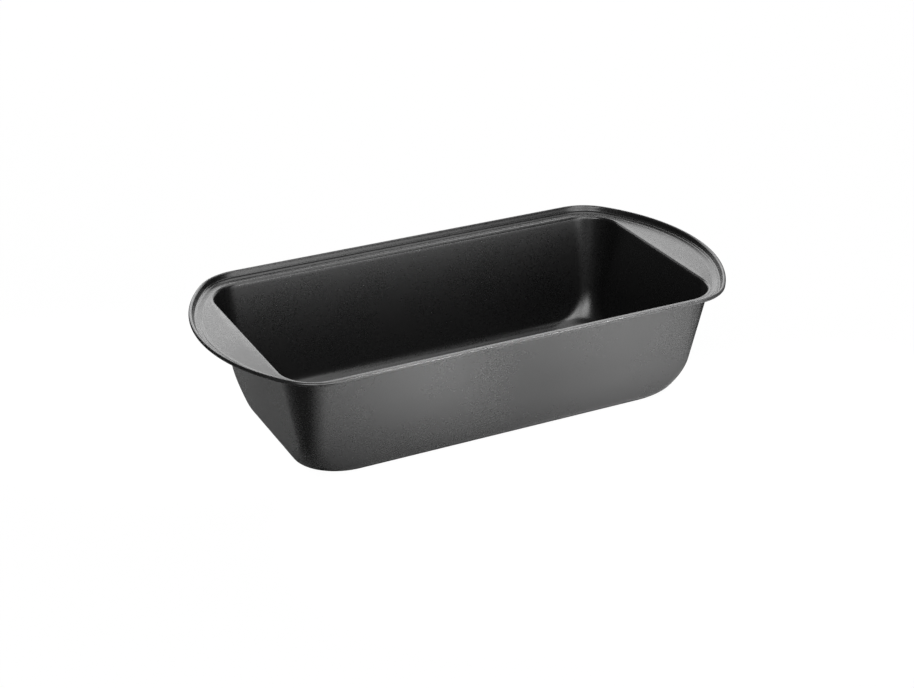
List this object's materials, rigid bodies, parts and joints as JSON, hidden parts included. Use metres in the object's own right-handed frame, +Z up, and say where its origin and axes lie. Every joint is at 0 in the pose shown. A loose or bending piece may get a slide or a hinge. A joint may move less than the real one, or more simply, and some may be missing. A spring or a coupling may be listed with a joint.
{
  "type": "loaf pan",
  "caption": "Rectangular loaf pan with drafted walls, rounded corners, a crescent flange handle at each end and a stepped rim with a rolled bead.",
  "frame": {"origin": "middle of the base, on the plane that the pan stands on", "axes": "+X along the pan's length, towards one end handle; +Y across it; +Z up, out of the mouth"},
  "size_m": [0.29, 0.1438, 0.0659],
  "materials": {
    "sheet_steel": "satin",
    "inside_coat": "satin",
    "outside_coat": "satin"
  },
  "bodies": {
    "root": {"pan_shell": "sheet_steel", "inside_coating": "inside_coat", "outside_coating": "outside_coat"}
  },
  "joints": []
}
